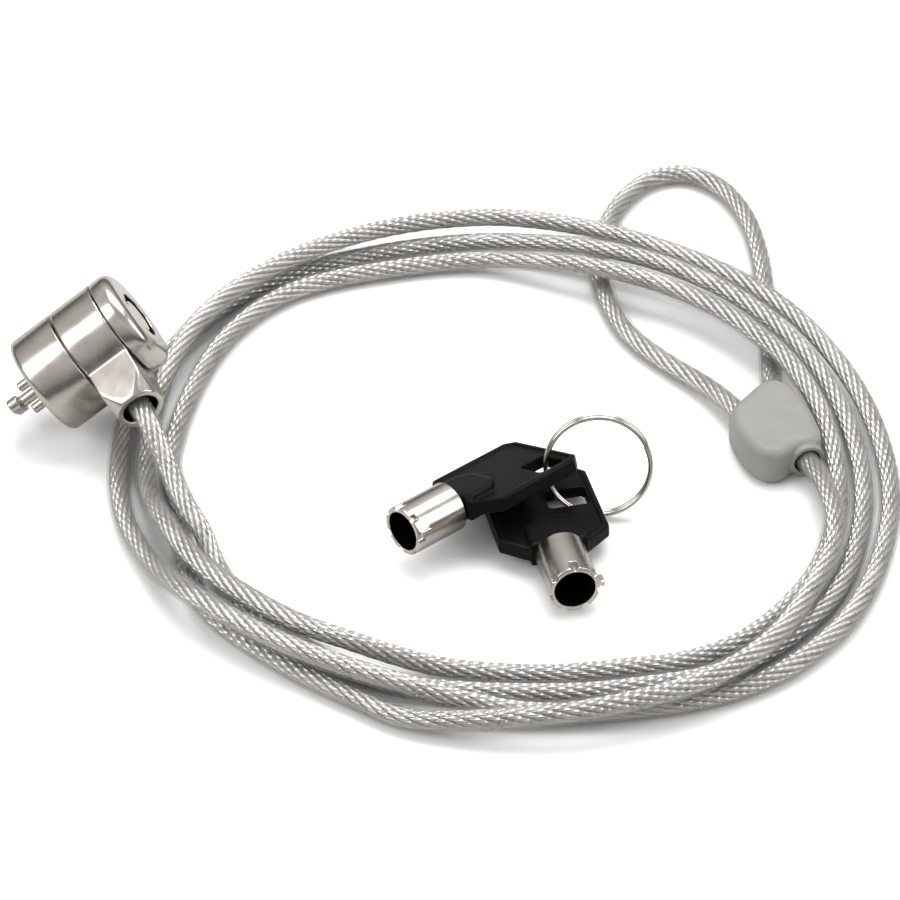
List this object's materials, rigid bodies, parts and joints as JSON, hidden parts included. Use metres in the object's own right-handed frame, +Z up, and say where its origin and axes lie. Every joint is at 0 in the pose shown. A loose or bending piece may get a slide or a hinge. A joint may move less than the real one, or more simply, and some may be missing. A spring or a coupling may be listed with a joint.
{
  "type": "laptop cable lock",
  "caption": "Laptop cable lock: a swivelling head with a T-bar nose and tubular-key plug, a coiled jacketed steel cable ending in a crimped loop, and keys on a split ring.",
  "frame": {"origin": "on the floor under the middle of the whole object's box, with the cable coiled flat", "axes": "+Z up; +X towards the side of the coil where the loop cover lies, -Y towards the keys' barrels"},
  "size_m": [0.1698, 0.169, 0.0304],
  "materials": {
    "galvanised_rope": "galvanised steel strands",
    "clear_jacket": "clear soft plastic, slightly milky",
    "plain_steel": "plain turned steel",
    "spring_steel": "drawn spring wire",
    "cover_plastic": "satin warm grey",
    "satin_nickel": "satin nickel plate",
    "polished_nickel": "bright nickel plate",
    "brass_works": "turned brass",
    "black_plastic": "moulded black, satin"
  },
  "bodies": {
    "cable": {"wire_rope": "galvanised_rope", "cable_jacket": "clear_jacket", "loop_jacket": "clear_jacket", "crimp_sleeve": "plain_steel", "loop_cover": "cover_plastic", "rope_stop": "plain_steel"},
    "collar": {"swivel_collar": "satin_nickel"},
    "lock_head": {"front_barrel": "satin_nickel", "rear_cap": "polished_nickel", "lock_housing": "plain_steel", "guide_pin_1": "satin_nickel", "guide_pin_2": "satin_nickel", "pin_bushing": "brass_works", "bushing_pin": "plain_steel", "driver_pin_1": "plain_steel", "driver_pin_2": "plain_steel", "driver_pin_3": "plain_steel", "driver_pin_4": "plain_steel", "driver_pin_5": "plain_steel", "driver_pin_6": "plain_steel", "driver_pin_7": "plain_steel", "pin_spring_1": "spring_steel", "pin_spring_2": "spring_steel", "pin_spring_3": "spring_steel", "pin_spring_4": "spring_steel", "pin_spring_5": "spring_steel", "pin_spring_6": "spring_steel", "pin_spring_7": "spring_steel"},
    "plug": {"plug": "polished_nickel", "spindle": "plain_steel", "t_bar": "satin_nickel", "retaining_clip": "plain_steel", "key_pin_1": "brass_works", "key_pin_2": "brass_works", "key_pin_3": "brass_works", "key_pin_4": "brass_works", "key_pin_5": "brass_works", "key_pin_6": "brass_works", "key_pin_7": "brass_works"},
    "key_ring": {"key_ring": "polished_nickel"},
    "key_1": {"key_1_barrel": "polished_nickel", "key_1_head": "black_plastic"},
    "key_2": {"key_2_barrel": "polished_nickel", "key_2_head": "black_plastic"}
  },
  "joints": [
    {"name": "lug_swivel", "type": "hinge", "parent": "cable", "child": "collar", "pos_m": [-0.05818, -0.01008, 0.01447], "axis": [0.4622, -0.8682, -0.1804], "range_deg": [-30, 20]},
    {"name": "head_swivel", "type": "hinge", "parent": "collar", "child": "lock_head", "pos_m": [-0.06668, 0.0059, 0.01779], "axis": [0.8046, 0.3251, 0.497], "continuous": true},
    {"name": "plug_turn", "type": "hinge", "parent": "lock_head", "child": "plug", "pos_m": [-0.06668, 0.0059, 0.01779], "axis": [0.8046, 0.3251, 0.497], "range_deg": [0, 90]},
    {"name": "keys_lift", "type": "slide", "parent": "cable", "child": "key_ring", "axis": [0, 0, 1], "range_m": [0, 0.04]},
    {"name": "key_1_swing", "type": "hinge", "parent": "key_ring", "child": "key_1", "pos_m": [0.0179, -0.02253, 0.00995], "axis": [-0.2221, 0.3258, 0.919], "range_deg": [-10, 25]},
    {"name": "key_2_swing", "type": "hinge", "parent": "key_ring", "child": "key_2", "pos_m": [0.02175, -0.02348, 0.00328], "axis": [-0.0243, 0.107, 0.994], "range_deg": [-5, 20]}
  ]
}
